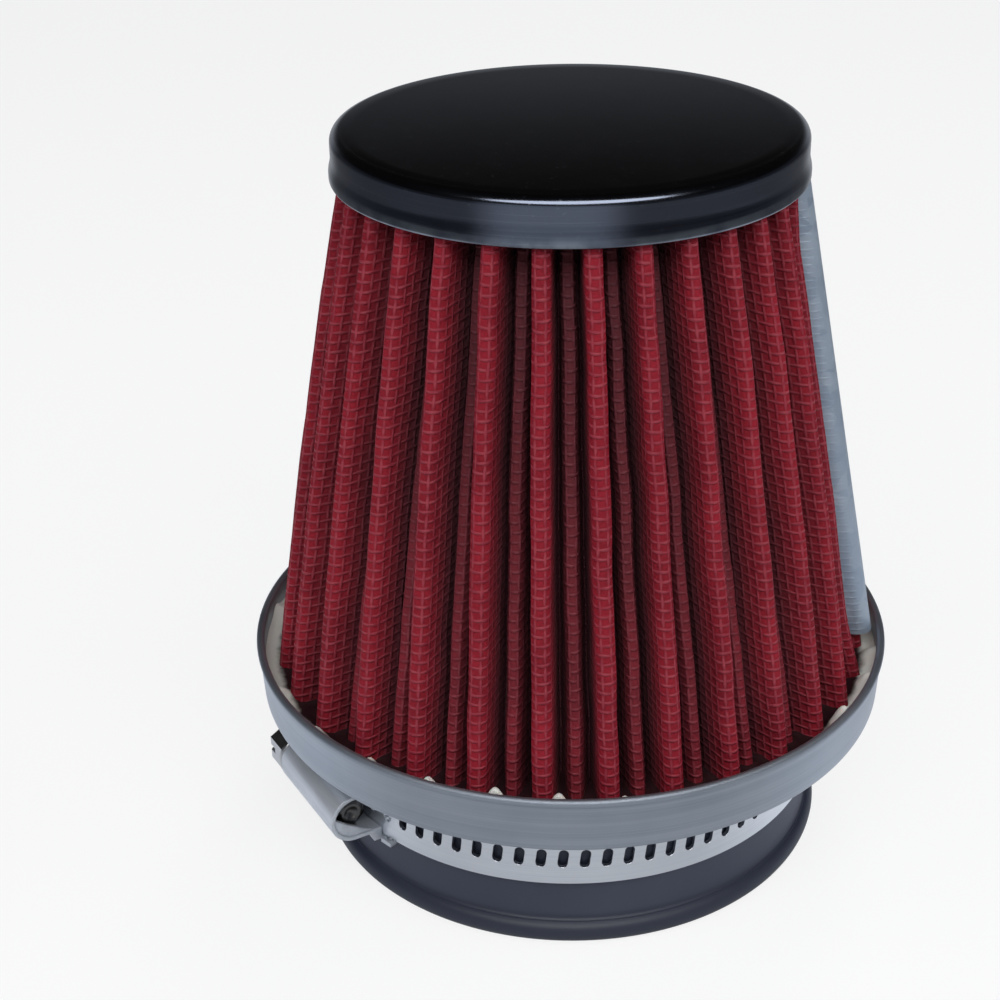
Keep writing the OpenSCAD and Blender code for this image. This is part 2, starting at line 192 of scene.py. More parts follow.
def cap_paint(tree):
    """Black mirror plating, a little rougher round the drawn side than on the top, with faint rolling marks and a
    painted highlight along the hem's lower edge.
    """
    place = tree.place()
    turn, up, away = tree.around(0.033)
    side = away.step(0.0306, 0.0322)
    cloud = tree.noise(place, 60, 4)
    smear = tree.noise(place, 260, 3)
    ripple = tree.noise(place, 28, 1)
    rolled = tree.noise(tree.join(turn * 30, up * 5200, away * 900), 1.0, 2)
    wear = tree.noise(place, 1500, 2).step(0.66, 0.74)
    # Painted highlight: the lowest 2 mm of the hem are made lighter in smeared patches.
    hem_highlight = up.step((CAP_LOW + 2.2) * MM, (CAP_LOW + 0.4) * MM) * smear.step(0.3, 0.65)
    colour = tree.blend(cloud, rgb(0.108, 0.122, 0.158), rgb(0.132, 0.147, 0.186))
    colour = tree.blend((wear * 0.25 + side * rolled.step(0.55, 0.8) * 0.35 + hem_highlight * 0.7).low(1), colour,
                        rgb(0.27, 0.3, 0.34))
    return {"Base Color": colour, "Roughness": 0.045 + smear.step(0.35, 0.8) * 0.03 + wear * 0.08 + side * 0.12,
            "Normal": tree.bump(ripple + side * rolled * 0.4, 0.00003, 0.25)}


def gauze_paint(tree):
    """Gauze behind a screen of coated wires, drawn on the sheet's own UV map, in metres from each fold's tip, with
    painted shade deep in the folds.
    """
    grid = tree.add("ShaderNodeUVMap", {"uv_map": "UVMap"}, {})
    across, along = (tree.split(grid).out(i) for i in range(2))
    place = tree.place()
    sway = tree.noise(place, 170, 2)
    sway_up = tree.noise(place, 210, 2).out("Color")
    pitch, half = 0.00136, 0.0003
    across = across + (sway - 0.5) * 0.0003
    along = along + (tree.split(sway_up).out(1) - 0.5) * 0.00035
    off_across = abs((across / pitch).part() - 0.5) * pitch
    off_along = abs((along / pitch).part() - 0.5) * pitch
    upright = 1 - (off_across / half).low(1) ** 2
    rung = 1 - (off_along / half).low(1) ** 2
    weave = ((across * (math.pi / pitch)).sin() * (along * (math.pi / pitch)).sin()) * 0.25
    wire = (upright * 0.8 + weave).high(rung - weave).high(0)
    thread = tree.noise(place, 2600, 2)
    tone = tree.noise(place, 95, 3)
    cloth = tree.blend(tone.step(0.3, 0.7), rgb(0.15, 0.004, 0.011), rgb(0.235, 0.008, 0.018))
    cloth = tree.blend(thread.step(0.35, 0.75) * 0.35, cloth, rgb(0.3, 0.014, 0.026))
    coat = tree.blend(tree.noise(place, 700, 2).step(0.3, 0.7), rgb(0.23, 0.024, 0.04), rgb(0.32, 0.052, 0.07))
    cover = wire.step(0.25, 0.9)
    x, y, z = (tree.split(place).out(i) for i in range(3))
    down = (GLUE_TOP * MM - z) / ((GLUE_TOP - GLUE_LOW) * MM)
    tip = TIP_TOP * MM + down * ((TIP_LOW - TIP_TOP) * MM) + down * (1 - down) * (4 * BULGE * MM)
    # Painted shade: the colour goes near black towards the fold roots, by depth below the tips.
    valley_shade = (tip - (x * x + y * y) ** 0.5).step(0.0005, 0.0068)
    colour = tree.blend(valley_shade * 0.84, tree.blend(cover * 0.7, cloth, coat), rgb(0.055, 0.026, 0.031))
    return {"Base Color": colour, "Roughness": 0.8 - cover * 0.25,
            "Normal": tree.bump(wire + thread * 0.15, 0.00022, 0.9)}


def brushed(tree, radius, dark, light, streak=1.0, grain=9000, dull=None):
    """Sheet metal drawn or rolled round the axis: fine streaks run along the turn. It is duller from one level up."""
    turn, up, away = tree.around(radius)
    lines = tree.noise(tree.join(turn * 24, up * grain, away * grain * 0.5), 1.0, 3, 0.6)
    bands = tree.noise(tree.join(turn * 9, up * 900, away * 700), 1.0, 2)
    cloud = tree.noise(tree.place(), 90, 3)
    mixed = lines * 0.45 + bands * 0.35 + cloud * 0.3
    return {"Base Color": tree.blend(mixed.step(0.35, 0.75), dark, light),
            "Roughness": 0.26 + lines * 0.16 * streak + cloud * 0.08 + (up.step(*dull) * 0.22 if dull else 0.0),
            "Normal": tree.bump(lines, 0.00003, 0.4 * streak)}


def pan_paint(tree):
    return brushed(tree, 0.048, rgb(0.33, 0.37, 0.43), rgb(0.46, 0.5, 0.56), dull=(0.0308, 0.032))


def band_paint(tree):
    return brushed(tree, 0.039, rgb(0.76, 0.79, 0.84), rgb(0.87, 0.9, 0.94), 0.8, 7000)


def from_screw(tree):
    """Distance from the screw's axis, and the place along it."""
    x, y, z = (tree.split(tree.place()).out(i) for i in range(3))
    out = x * math.cos(CLAMP) + y * math.sin(CLAMP) - SCREW_R * MM
    rise = z - BAND_MID * MM
    return (out * out + rise * rise) ** 0.5, y * math.cos(CLAMP) - x * math.sin(CLAMP)


def clamp_paint(tree):
    """Bright rolled strip, dark with old grease and painted shade where the cover holds the screw."""
    paint = brushed(tree, 0.042, rgb(0.5, 0.53, 0.58), rgb(0.62, 0.65, 0.7), 0.8, 5000)
    out, along = from_screw(tree)
    # Grease and painted shade: the cover's inside round the screw is made nearly black.
    grease_and_shade = out.step(0.0035, 0.0033) * along.step(0.0081, 0.0078)
    paint["Base Color"] = tree.blend(grease_and_shade * 0.85, paint["Base Color"], rgb(0.06, 0.055, 0.05))
    return paint


def screw_paint(tree):
    """Plated steel, darkened between the threads and at the tip by grease and painted shade."""
    place = tree.place()
    out, along = from_screw(tree)
    # Grease and painted shade: the thread roots and the tip are made nearly black.
    grease_and_shade = (out.step(0.0029, 0.0024) * along.step(-0.009, -0.0086)).high(along.step(0.0066, 0.0074))
    cloud = tree.noise(place, 500, 3)
    nick = tree.noise(place, 2600, 2).step(0.62, 0.72)
    steel = tree.blend(cloud, rgb(0.45, 0.46, 0.48), rgb(0.62, 0.62, 0.62))
    return {"Base Color": tree.blend(grease_and_shade * 0.85, steel, rgb(0.07, 0.065, 0.06)),
            "Roughness": 0.26 + cloud * 0.15 + nick * 0.2, "Normal": tree.bump(nick, 0.00004, 0.3)}


def clip_paint(tree):
    """Galvanised strip: large pale crystals under a bluish skin."""
    place = tree.place()
    crystal = tree.add("ShaderNodeTexVoronoi", {}, {"Vector": place, "Scale": 420}).out("Color")
    facet = tree.split(crystal).out(0)
    cloud = tree.noise(place, 300, 3)
    mixed = facet * 0.5 + cloud * 0.5
    return {"Base Color": tree.blend(mixed, rgb(0.29, 0.36, 0.46), rgb(0.47, 0.54, 0.62)),
            "Roughness": 0.46 + facet * 0.14, "Normal": tree.bump(cloud, 0.00005, 0.4)}


def glue_paint(tree):
    place = tree.place()
    cloud = tree.noise(place, 160, 4)
    shade_wobble = tree.noise(place, 420, 3)
    up, away = tree.around(1.0)[1:]
    colour = tree.blend(cloud, rgb(0.62, 0.61, 0.55), rgb(0.76, 0.75, 0.70))
    # Painted shade: the resin in from the pan's wall and low down is made near black-red and rougher, so only the beads
    # at the wall stay pale.
    pool_shade = (away + shade_wobble * 0.0016).step(0.0469, 0.0454) * (up + shade_wobble * 0.0006).step(0.0307, 0.0298)
    return {"Base Color": tree.blend(pool_shade, colour, rgb(0.024, 0.006, 0.008)),
            "Roughness": 0.34 + cloud * 0.2 + pool_shade * 0.3, "Normal": tree.bump(cloud, 0.0003, 0.5)}


def cap_glue_paint(tree):
    cloud = tree.noise(tree.place(), 200, 3)
    return {"Base Color": tree.blend(cloud, rgb(0.03, 0.03, 0.034), rgb(0.06, 0.06, 0.065)),
            "Roughness": 0.4 + cloud * 0.2, "Normal": tree.bump(cloud, 0.0002, 0.4)}


def rubber_paint(tree):
    place = tree.place()
    cloud = tree.noise(place, 70, 4)
    speck = tree.noise(place, 2400, 2)
    bloom = tree.noise(place, 26, 3).step(0.4, 0.75)
    colour = tree.blend(cloud, rgb(0.027, 0.033, 0.055), rgb(0.037, 0.044, 0.072))
    colour = tree.blend(bloom * 0.35, colour, rgb(0.056, 0.065, 0.094))
    # Painted shade: the bead round the mouth is made darker than the wall above it.
    bead_shade = tree.split(place).out(2).step(0.0052, 0.0038)
    colour = tree.blend(bead_shade * 0.65, colour, rgb(0.012, 0.015, 0.027))
    return {"Base Color": colour, "Roughness": 0.42 + cloud * 0.16 + speck * 0.06 - bead_shade * 0.04,
            "Normal": tree.bump(speck, 0.00003, 0.35)}


CAP = finish("cap_dark_mirror", cap_paint, Metallic=1.0)
GAUZE = finish("red_gauze_and_wire", gauze_paint, Specular_IOR_Level=0.22)
PAN = finish("pan_satin_steel", pan_paint, Metallic=1.0)
BAND = finish("band_rolled_steel", band_paint, Metallic=1.0)
CLAMP_STEEL = finish("clamp_pressed_steel", clamp_paint, Metallic=0.55)
SCREW = finish("screw_plated_steel", screw_paint, Metallic=1.0)
CLIP = finish("clip_galvanised", clip_paint, Metallic=0.6)
GLUE = finish("pan_pale_resin", glue_paint, Specular_IOR_Level=0.2, Subsurface_Weight=0.1, Subsurface_Scale=0.001)
CAP_GLUE = finish("cap_dark_resin", cap_glue_paint)
RUBBER = finish("neck_dark_rubber", rubber_paint, Specular_IOR_Level=0.5)


# Mesh helpers


def arc(x, y, radius, start, end, count):
    """Points of an arc, with the angles in degrees."""
    return [(x + radius * math.cos(RISE(start + (end - start) * i / count)),
             y + radius * math.sin(RISE(start + (end - start) * i / count))) for i in range(count + 1)]


def piece(name, points, faces, material, sharp=35.0, uvs=None, outwards=False):
    """A smooth mesh object from points in millimetres, creased where its faces meet at more than sharp degrees."""
    mesh = bpy.data.meshes.new(name)
    mesh.from_pydata([tuple(float(c) * MM for c in p) for p in points], [], faces)
    if uvs is not None:
        layer = mesh.uv_layers.new(name="UVMap")
        layer.data.foreach_set("uv", np.asarray(uvs, dtype=np.float32).ravel())
    if outwards:
        form = bmesh.new()
        form.from_mesh(mesh)
        bmesh.ops.remove_doubles(form, verts=form.verts, dist=1e-7)
        bmesh.ops.recalc_face_normals(form, faces=form.faces)
        form.to_mesh(mesh)
        form.free()
    mesh.materials.append(material)
    mesh.shade_smooth()
    mesh.set_sharp_from_angle(angle=RISE(sharp))
    made = bpy.data.objects.new(name, mesh)
    bpy.context.scene.collection.objects.link(made)
    return made


def turned(name, outline, material, closed=True, count=256, sharp=35.0, move=None):
    """A piece turned about Z from points of radius and height. An outline that isn't closed runs from pole to pole."""
    points, faces = [], []
    for i in range(count):
        angle = 2 * math.pi * i / count
        for r, z in outline:
            if move:
                r, z = move(r, z, angle)
            points.append((r * math.cos(angle), r * math.sin(angle), z))
    rings = len(outline)
    last = rings if closed else rings - 1
    for i in range(count):
        near, far = i * rings, (i + 1) % count * rings
        for j in range(last):
            k = (j + 1) % rings
            faces.append((near + j, far + j, far + k, near + k))
    return piece(name, points, faces, material, sharp, outwards=True)


def between_rings(rings, count):
    """Faces that join rings of points, each ring to the next."""
    return [(row * count + i, row * count + (i + 1) % count, (row + 1) * count + (i + 1) % count, (row + 1) * count + i)
            for row in range(rings - 1) for i in range(count)]


def baked(made):
    """The plain mesh that a piece's modifiers make. The piece loses the modifiers."""
    graph = bpy.context.evaluated_depsgraph_get()
    mesh = bpy.data.meshes.new_from_object(made.evaluated_get(graph), preserve_all_data_layers=True, depsgraph=graph)
    made.modifiers.clear()
    return mesh


def ease_edges(made, width):
    """Rounds a piece's edges a little."""
    bevel = made.modifiers.new("ease", "BEVEL")
    bevel.width, bevel.segments, bevel.limit_method, bevel.angle_limit = width * MM, 2, "ANGLE", RISE(40)


def gather(made, meshes):
    """Puts several meshes together as one piece's mesh."""
    whole = bmesh.new()
    for mesh in meshes:
        whole.from_mesh(mesh)
    whole.to_mesh(made.data)
    whole.free()


def grown(name, base, inputs, build, material):
    """Runs a geometry tree on a piece's mesh and leaves the result as its plain mesh."""
    group = bpy.data.node_groups.new(name, "GeometryNodeTree")
    group.interface.new_socket("Geometry", in_out="INPUT", socket_type="NodeSocketGeometry")
    for label, value in inputs.items():
        kind = {int: "NodeSocketInt", float: "NodeSocketFloat"}.get(type(value), "NodeSocketObject")
        group.interface.new_socket(label, in_out="INPUT", socket_type=kind)
    group.interface.new_socket("Geometry", in_out="OUTPUT", socket_type="NodeSocketGeometry")
    tree = Tree(group)
    entry = group.nodes.new("NodeGroupInput")
    given = {socket.name: Wire(tree, socket) for socket in entry.outputs if socket.name}
    result = build(tree, given)
    result = tree.add("GeometryNodeRealizeInstances", {}, {0: result})
    result = tree.add("GeometryNodeSetMaterial", {}, {"Geometry": result, "Material": material})
    tree.add("NodeGroupOutput", {}, {0: result})
    modifier = base.modifiers.new(name, "NODES")
    modifier.node_group = group
    for item in group.interface.items_tree:
        if item.in_out == "INPUT" and item.name in inputs:
            modifier[item.identifier] = inputs[item.name]
    base.data = baked(base)
    return base


def instances(tree, count, shape, turn=None, spacing=0.0):
    """Copies of a shape along X, or turned about Z by an angle for each."""
    spots = tree.add("GeometryNodeMeshLine", {"mode": "OFFSET"}, {"Count": count, "Offset": (spacing, 0.0, 0.0)}
                     if not isinstance(spacing, Wire) else {"Count": count, "Offset": tree.join(spacing)})
    given = {"Points": spots, "Instance": shape}
    if turn is not None:
        index = tree.add("GeometryNodeInputIndex")
        given["Rotation"] = tree.join(0.0, 0.0, index * turn)
    copies = tree.add("GeometryNodeInstanceOnPoints", {}, given)
    return tree.add("GeometryNodeRealizeInstances", {}, {0: copies})


def place_of(tree):
    spot = tree.split(tree.add("GeometryNodeInputPosition"))
    return spot.out(0), spot.out(1), spot.out(2)


def use(made, body, slot, *nodes):
    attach(made, body)
    if nodes:
        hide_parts(*nodes)
    return made


# The cap: a pressed cup with a rounded upper edge and a hemmed open edge

hem_x = HEM_R - HEM_T / 2
cap_outline = (
    [(0, TOP)] + [(r, TOP) for r in (6, 12, 18, 23, 27, 29.3)]
    + arc(CAP_R - CAP_EDGE, TOP - CAP_EDGE, CAP_EDGE, 90, 0, 10)
    + [(CAP_R, TOP - 2.6), (CAP_R, TOP - 3.4), (CAP_R + 0.04, TOP - 3.9), (CAP_R + 0.14, CAP_LOW + HEM_H + 0.55)]
    + [(HEM_R - 0.06, CAP_LOW + HEM_H), (HEM_R, CAP_LOW + HEM_H - 0.45)]
    + arc(hem_x, CAP_LOW + HEM_T / 2, HEM_T / 2, 0, -180, 10)
    + [(CAP_R - CAP_SHEET, CAP_LOW + HEM_H), (CAP_R - CAP_SHEET, TOP - CAP_EDGE)]
    + arc(CAP_R - CAP_EDGE, TOP - CAP_EDGE, CAP_EDGE - CAP_SHEET, 0, 90, 6)
    + [(20, TOP - CAP_SHEET), (0, TOP - CAP_SHEET)])
cap = turned("cap_shell", cap_outline, CAP, closed=False)

# The pan: a floor with a rounded corner, a wall that opens a little and a rolled rim


def pan_wall(z):
    return PAN_R - PAN_DRAFT * (RIM_Z - z) / PAN_H


roll_z = RIM_Z - RIM_ROLL
inner_corner = PAN_CORNER - PAN_SHEET
pan_outline = (
    [(NECK_R, NECK_LEN), (41, NECK_LEN), (43.5, NECK_LEN)]
    + arc(CORNER_R, NECK_LEN + PAN_CORNER, PAN_CORNER, -90, -4, 12)
    + [(pan_wall(z), z) for z in (26.5, 28, 30, roll_z - 0.75)]
    + arc(PAN_R - PAN_SHEET / 2, roll_z, RIM_ROLL, -50, 232, 22)
    + [(pan_wall(z) - PAN_SHEET, z) for z in (roll_z - 0.8, 29, 26.5)]
    + arc(CORNER_R, NECK_LEN + PAN_CORNER, inner_corner, -4, -90, 8)
    + [(43.5, NECK_LEN + PAN_SHEET), (NECK_R, NECK_LEN + PAN_SHEET)])
pan = turned("steel_pan", pan_outline, PAN)

# The neck: a rubber sleeve with a bead round its mouth, pressed in where the clamp's saddle lies

pocket = [BAND_MID + level for level in (-CLAMP_FOOT - 0.04, -CLAMP_FOOT, -4.9, -2.6, 0, 2.6, 4.9, CLAMP_FOOT,
                                         CLAMP_FOOT + 0.04)]
shoulder = NECK_LEN - SHOULDER_T
neck_outline = (
    [(BORE_R + 1, 0), (BEAD_OUT - BEAD_R, 0)]
    + arc(BEAD_OUT - BEAD_R, BEAD_R, BEAD_R, -75, 66, 14)
    + arc(38.62, 4.35, 0.62, 246, 180, 4)
    + [(NECK_R, z) for z in [6] + pocket + [21.5]]
    + arc(NECK_R + 0.3, shoulder - 0.3, 0.3, 180, 90, 3)
    + arc(SHOULDER_OUT - 0.3, shoulder + 0.3, 0.3, -90, 0, 3)
    + [(SHOULDER_OUT, NECK_LEN), (NECK_R, NECK_LEN), (NECK_R, NECK_LEN + PAN_SHEET)]
    + [(FLANGE_R, NECK_LEN + PAN_SHEET), (FLANGE_R, FLANGE_TOP), (LIP_R, FLANGE_TOP)]
    + arc(LIP_R - 0.3, LIP_TOP - 0.3, 0.3, 0, 90, 3) + arc(BORE_R + 0.3, LIP_TOP - 0.3, 0.3, 90, 180, 3)
    + [(BORE_R, z) for z in (26, 20, 14, 8, 3, 1)])


def pressed_in(r, z, angle):
    """The saddle's pocket in the outer wall."""
    off = abs((angle - CLAMP + math.pi) % (2 * math.pi) - math.pi)
    if abs(r - NECK_R) < 0.01 and abs(z - BAND_MID) < CLAMP_FOOT + 0.01 and off < SADDLE_HALF:
        return r - 0.65, z
    return r, z


neck = turned("rubber_neck", neck_outline, RUBBER, count=288, move=pressed_in)

# The folded element. One pair of folds is drawn in plan at both ends, lofted between them, turned round the axis by
# a geometry tree and then bunched, leaned and ruffled. The fold in front of the seam clip lies a little lower

STEP = 2 * math.pi / (4 * FOLD_PAIRS)
TIP_INNER, SHORT_INNER, SHORT_DROP = (0.25, 0.45), 0.08, (5.4, 2.5)
RUFFLE, SUNK_FOLD, SUNK_BY, SHEET_SLOPE = 0.5, 24, 1.2, 1.02


def bend_r(j, down):
    if j % 2:
        return FOLD_T / 2 + ROOT_GAP
    return FOLD_T / 2 + (TIP_INNER[down] if j % 4 == 0 else SHORT_INNER)


def bend_centre(j, down):
    tip, root = (TIP_LOW, ROOT_LOW) if down else (TIP_TOP, ROOT_TOP)
    reach = root if j % 2 else tip - (SHORT_DROP[down] if j % 4 else 0) - bend_r(j, down) - FOLD_T / 2
    return np.array([reach * math.cos(j * STEP), reach * math.sin(j * STEP)])


def wall_heading(j, down):
    d = bend_centre(j + 1, down) - bend_centre(j, down)
    turn = -1 if j % 2 else 1
    return math.atan2(d[1], d[0]) + turn * math.asin((bend_r(j, down) + bend_r(j + 1, down)) / np.hypot(*d))


def bend_run(j, down, side, parts, first=0, last=None):
    """Points round one bend, where side is 1 for the clean face of the sheet and -1 for the dirty face."""
    turn = -1 if j % 2 else 1
    start = wall_heading(j - 1, down) - turn * math.pi / 2
    sweep = (turn * (wall_heading(j, down) - turn * math.pi / 2 - start)) % (2 * math.pi)
    r = bend_r(j, down) - turn * side * FOLD_T / 2
    middle = bend_centre(j, down)
    angles = [start + turn * sweep * i / parts for i in range(first, (parts if last is None else last) + 1)]
    return [middle + r * np.array([math.cos(a), math.sin(a)]) for a in angles]


def pair_run(down, side):
    """One pair in plan, from the middle of one root to the middle of the next but one."""
    runs = [bend_run(-1, down, side, 4, first=2), bend_run(0, down, side, 8), bend_run(1, down, side, 4),
            bend_run(2, down, side, 6), bend_run(3, down, side, 4, last=2)]
    points = list(runs[0])
    for run in runs[1:]:
        start, end = points[-1], run[0]
        points += [start + (end - start) * i / 3 for i in (1, 2)] + list(run)
    return np.array(points)


def along_run(points, tips, split):
    """Distance of each point from its own fold's tip, for the first fold and, from split on, for the second."""
    length = np.concatenate([[0], np.cumsum(np.hypot(*np.diff(points, axis=0).T))])
    return length - length[tips[0]], length - length[tips[1]], split


def fold_pair():
    rows = [FOOT_Z] + list(np.linspace(GLUE_LOW, GLUE_TOP, 36)) + [HEAD_Z]
    faces_of_sheet = []
    for side in (-1, 1):
        low, top = pair_run(1, side), pair_run(0, side)
        grid = []
        for z in rows:
            share = min(max((z - GLUE_LOW) / (GLUE_TOP - GLUE_LOW), 0), 1)
            flat = low + (top - low) * share
            grid.append(np.column_stack([flat, np.full(len(flat), z)]))
        faces_of_sheet.append(np.array(grid))
    columns = faces_of_sheet[0].shape[1]
    tip_one, split, tip_two = 2 + 3 + 4, 2 + 3 + 8 + 3 + 2, 2 + 3 + 8 + 3 + 4 + 3 + 3
    marks = []
    for grid in faces_of_sheet:
        marks.append([along_run(row[:, :2], (tip_one, tip_two), split) for row in grid])
    points = np.concatenate([grid.reshape(-1, 3) for grid in faces_of_sheet])
    size = columns * len(rows)
    faces, uvs = [], []

    def spot(side, row, column):
        return side * size + row * columns + column

    def mark(side, row, column, second):
        return marks[side][row][1 if second else 0][column] * MM, rows[row] * SHEET_SLOPE * MM

    for side in (0, 1):
        for row in range(len(rows) - 1):
            for column in range(columns - 1):
                corners = [(row, column), (row, column + 1), (row + 1, column + 1), (row + 1, column)]
                if side:
                    corners.reverse()
                second = column >= split
                faces.append(tuple(spot(side, r, c) for r, c in corners))
                uvs += [mark(side, r, c, second) for r, c in corners]
    for row, up in ((0, False), (len(rows) - 1, True)):
        for column in range(columns - 1):
            corners = [(0, column), (0, column + 1), (1, column + 1), (1, column)]
            if not up:
                corners.reverse()
            faces.append(tuple(spot(s, row, c) for s, c in corners))
            uvs += [mark(s, row, c, column >= split) for s, c in corners]
    return piece("fold_pack", points, faces, GAUZE, 180.0, uvs)


def fold_tree(tree, given):
    ring = instances(tree, given["Pairs"], given["Geometry"], turn=2 * math.pi / given["Pairs"])
    ring = tree.add("GeometryNodeMergeByDistance", {}, {"Geometry": ring, "Distance": 2e-6})
    x, y, z = place_of(tree)
    down = ((GLUE_TOP * MM - z) / ((GLUE_TOP - GLUE_LOW) * MM)).high(0).low(1)
    angle = x.maths("ARCTAN2", y, x)
    reach = (x * x + y * y) ** 0.5
    bunched = angle + given["First fold"] - given["Bunch"] * (1 - (angle - RISE(15)).cos()) / 2 + given["Lean"] * down
    free = (down * (1 - down) * 9).low(1)
    spot = tree.add("GeometryNodeInputPosition")
    ruffle = tree.split(tree.noise(spot, 75, 2).out("Color"))
    crinkle = tree.split(tree.noise(spot, 260, 1).out("Color"))
    swing = ((ruffle.out(0) - 0.5) * 1.5 + (crinkle.out(0) - 0.5) * 0.35) * given["Ruffle"] * free
    stand = ((ruffle.out(1) - 0.5) * 0.9 + (crinkle.out(1) - 0.5) * 0.3) * given["Ruffle"] * free
    turned_to = bunched + swing / reach
    beside = (angle + given["Clip side"]).cos().step(0.9957, 0.9995)
    reach = reach + stand + down * (1 - down) * (4 * BULGE * MM) - beside * free * given["Sunk"]
    moved = tree.join(reach * turned_to.cos(), reach * turned_to.sin(), z)
    return tree.add("GeometryNodeSetPosition", {}, {"Geometry": ring, "Position": moved})


fold_inputs = {"Pairs": FOLD_PAIRS, "First fold": FIRST_FOLD, "Bunch": BUNCH, "Lean": LEAN, "Ruffle": RUFFLE * MM,
               "Clip side": -SUNK_FOLD * STEP, "Sunk": SUNK_BY * MM}
folds = grown("fold_pack", fold_pair(), fold_inputs, fold_tree, GAUZE)
folds.data.set_sharp_from_angle(angle=RISE(60))


def bearing(j, down):
    a = j * STEP
    return FIRST_FOLD + a - BUNCH * (1 - math.cos(a - RISE(15))) / 2 + LEAN * down


# The seam clip: a channel over one deep fold, with fine ribs pressed along its sides

CLIP_STEP, CLIP_LOW_R, CLIP_TOP_R, CLIP_DEPTH = 28, TIP_LOW + 1.4, TIP_TOP + 0.5, 4.2
CLIP_FROM, CLIP_TO = GLUE_LOW + 3.6, CAP_LOW - 0.3
CLIP_IN, CLIP_SHEET, RIB_PITCH, RIB_SWELL = 1.83, 0.5, 1.15, 0.05


def clip_frame(z):
    """The line that the clip's section follows, with its outward and sideways directions."""
    share = (z - GLUE_LOW) / (GLUE_TOP - GLUE_LOW)
    low_b, top_b = bearing(CLIP_STEP, 1), bearing(CLIP_STEP, 0)
    low = Vector((CLIP_LOW_R * math.cos(low_b), CLIP_LOW_R * math.sin(low_b), GLUE_LOW))
    top = Vector((CLIP_TOP_R * math.cos(top_b), CLIP_TOP_R * math.sin(top_b), GLUE_TOP))
    middle = (low_b + top_b) / 2
    return low + (top - low) * share, Vector((math.cos(middle), math.sin(middle), 0)), \
        Vector((-math.sin(middle), math.cos(middle), 0))


def clip_section():
    outer, inner = CLIP_IN + CLIP_SHEET, CLIP_IN
    middle = CLIP_SHEET - outer
    return ([(-CLIP_DEPTH, -inner), (-CLIP_DEPTH, -outer + 0.08), (-CLIP_DEPTH + 0.08, -outer), (middle - 0.8, -outer)]
            + arc(middle, 0, outer, -90, 90, 16)
            + [(middle - 0.8, outer), (-CLIP_DEPTH + 0.08, outer), (-CLIP_DEPTH, outer - 0.08), (-CLIP_DEPTH, inner)]
            + [(middle - 0.8, inner)] + arc(middle, 0, inner, 90, -90, 12) + [(middle - 0.8, -inner)])


def swept_clip():
    section = clip_section()
    levels = np.linspace(CLIP_FROM, CLIP_TO, 40)
    points = []
    for z in levels:
        base, out, side = clip_frame(z)
        points += [tuple(base + out * x + side * y) for x, y in section]
    n = len(section)
    faces = between_rings(len(levels), n)
    for start in (0, (len(levels) - 1) * n):
        faces += [(start + i, start + i + 1, start + n - 2 - i, start + n - 1 - i) for i in range(n // 2 - 1)]
    return piece("fold_clip", points, faces, CLIP, 40.0, outwards=True)


def clip_rib():
    """One pair of ribs, pressed along the clip's two sides and lying at their own height nought."""
    outer = CLIP_IN + CLIP_SHEET
    middle = CLIP_SHEET - outer
    out, side = clip_frame(0)[1:]
    points, faces = [], []
    for hand in (-1, 1):
        spine = [((-CLIP_DEPTH + 0.5, hand * outer), (0, hand)), ((-2.9, hand * outer), (0, hand)),
                 ((middle - 0.6, hand * outer), (0, hand))]
        for i in range(1, 5):
            turn = RISE(90 - 9 * i)
            d = (math.cos(turn), hand * math.sin(turn))
            spine.append(((middle + outer * d[0], outer * d[1]), d))
        base, last = len(points), len(spine) - 1
        for i, ((x, y), d) in enumerate(spine):
            swell = RIB_SWELL * math.sin(math.pi * (i + 0.3) / (last + 0.6))
            for dr, dz in ((-0.06, -0.3), (swell * 0.7, -0.16), (swell, 0), (swell * 0.7, 0.16), (-0.06, 0.3)):
                at = out * (x + d[0] * dr) + side * (y + d[1] * dr)
                points.append((at.x, at.y, dz))
        for i in range(last):
            for j in range(5):
                k = (j + 1) % 5
                faces.append(tuple(base + n for n in (i * 5 + j, (i + 1) * 5 + j, (i + 1) * 5 + k, i * 5 + k)))
        faces += [tuple(base + n for n in range(5)), tuple(base + n for n in reversed(range(last * 5, last * 5 + 5)))]
    return piece("clip_rib", points, faces, CLIP, 60.0, outwards=True)


def rib_tree(tree, given):
    rib = tree.add("GeometryNodeObjectInfo", {"transform_space": "ORIGINAL"}, {"Object": given["Rib"]}, "Geometry")
    low, top = clip_frame(CLIP_FROM + 0.8)[0] * MM, clip_frame(CLIP_TO - 0.8)[0] * MM
    path = tree.add("GeometryNodeCurvePrimitiveLine", {}, {"Start": low, "End": top})
    spots = tree.add("GeometryNodeCurveToPoints", {"mode": "LENGTH"}, {"Curve": path, "Length": given["Pitch"]})
    ribs = tree.add("GeometryNodeInstanceOnPoints", {}, {"Points": spots, "Instance": rib})
    both = tree.add("GeometryNodeJoinGeometry")
    for part in (ribs, given["Geometry"]):
        tree.links.new(part.socket, both.socket.node.inputs[0])
    return both


rib = clip_rib()
clip = grown("fold_clip", swept_clip(), {"Rib": rib, "Pitch": RIB_PITCH * MM}, rib_tree, CLIP)
bpy.data.objects.remove(rib)

# The pale resin in the pan: it creeps up the walls and the folds, and stands in beads at a few fold feet


def fold_line():
    """The sheet's two faces in plan at the glue, as dense points."""
    rows = []
    for side in (-1, 1):
        run = pair_run(1, side)
        dense = np.concatenate([run[:-1] + (run[1:] - run[:-1]) * t for t in (0, 0.25, 0.5, 0.75)])
        for k in range(FOLD_PAIRS):
            angle = np.arctan2(dense[:, 1], dense[:, 0]) + 2 * math.pi * k / FOLD_PAIRS
            reach = np.hypot(dense[:, 0], dense[:, 1])
            to = angle + FIRST_FOLD - BUNCH * (1 - np.cos(angle - RISE(15))) / 2 + LEAN
            rows.append(np.column_stack([reach * np.cos(to), reach * np.sin(to)]))
    return np.concatenate(rows)


